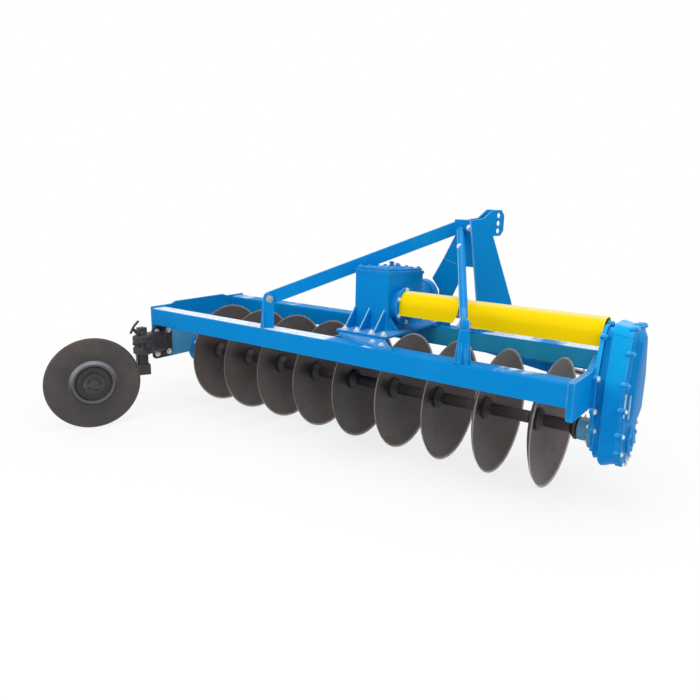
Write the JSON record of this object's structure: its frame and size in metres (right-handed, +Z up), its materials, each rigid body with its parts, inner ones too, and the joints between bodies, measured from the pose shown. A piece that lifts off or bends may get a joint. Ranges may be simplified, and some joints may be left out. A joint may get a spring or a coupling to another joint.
{
  "type": "power-driven disc plough",
  "caption": "Three-point disc plough with a driven gang of dished discs under a box frame, gearbox, guarded cross shaft, side drive case, mast, braces and tail disc.",
  "frame": {"origin": "on the ground, in the middle of the machine's box", "axes": "+Z up; +X along the beams and the gang, towards the drive case; +Y forward from the rear beam to the mast. The pull is turned 24 degrees from +Y towards +X."},
  "size_m": [2.6018, 1.8122, 1.14],
  "materials": {
    "frame_blue": "gloss",
    "guard_yellow": "satin",
    "disc_steel": "satin",
    "gang_dark": "satin",
    "tail_black": "satin",
    "bright_steel": "satin"
  },
  "bodies": {
    "frame": {"rear_beam": "frame_blue", "front_beam": "frame_blue", "left_end_plate": "frame_blue", "right_end_plate": "frame_blue", "left_gang_bearing": "frame_blue", "right_gang_bearing": "frame_blue", "drive_case_flange": "frame_blue", "drive_case_body": "frame_blue", "drive_case_cover": "frame_blue", "guard_left": "guard_yellow", "guard_right": "guard_yellow", "gearbox_cradle": "frame_blue", "gearbox_housing": "frame_blue", "gearbox_cover": "frame_blue", "gearbox_output_boss": "frame_blue", "mast_base": "frame_blue", "mast_plate_right": "frame_blue", "mast_plate_left": "frame_blue", "mast_rear_plate": "frame_blue", "mast_front_block": "frame_blue", "hitch_bar": "frame_blue", "hitch_pin_left": "bright_steel", "hitch_pin_right": "bright_steel", "hitch_arm_left": "frame_blue", "hitch_arm_right": "frame_blue", "mast_leg": "frame_blue", "brace_left": "frame_blue", "brace_bracket_left": "frame_blue", "brace_pin_left": "bright_steel", "brace_right": "frame_blue", "brace_bracket_right": "frame_blue", "brace_pin_right": "bright_steel", "tail_mount_plate": "tail_black", "tail_clamp": "tail_black", "tail_shank": "tail_black", "tail_arm": "tail_black", "tail_spindle": "tail_black"},
    "gang": {"gang_shaft": "gang_dark", "disc_1": "disc_steel", "disc_2": "disc_steel", "disc_3": "disc_steel", "disc_4": "disc_steel", "disc_5": "disc_steel", "disc_6": "disc_steel", "disc_7": "disc_steel", "disc_8": "disc_steel", "disc_9": "disc_steel", "disc_spools": "gang_dark", "gang_collar_left": "gang_dark", "gang_collar_right": "gang_dark"},
    "tail_wheel": {"tail_disc": "tail_black", "tail_hub": "tail_black"},
    "cross_drive": {"cross_shaft": "bright_steel"},
    "pto_drive": {"pto_shaft": "bright_steel"}
  },
  "joints": [
    {"name": "gang_spin", "type": "hinge", "parent": "frame", "child": "gang", "pos_m": [-0.03413, 0.10562, 0.28], "axis": [1, 0, 0], "continuous": true},
    {"name": "tail_disc_spin", "type": "hinge", "parent": "frame", "child": "tail_wheel", "pos_m": [-1.12713, -0.68937, 0.235], "axis": [0.9135, -0.4067, 0], "continuous": true},
    {"name": "cross_shaft_spin", "type": "hinge", "parent": "frame", "child": "cross_drive", "pos_m": [0.66487, 0.10562, 0.69], "axis": [1, 0, 0], "continuous": true},
    {"name": "pto_spin", "type": "hinge", "parent": "frame", "child": "pto_drive", "pos_m": [0.10287, 0.33463, 0.69], "axis": [0, 1, 0], "continuous": true}
  ],
  "couplings": [
    {"joint": "cross_shaft_spin", "follows": "gang_spin", "ratio": 2},
    {"joint": "pto_spin", "follows": "gang_spin", "ratio": 4.5}
  ]
}
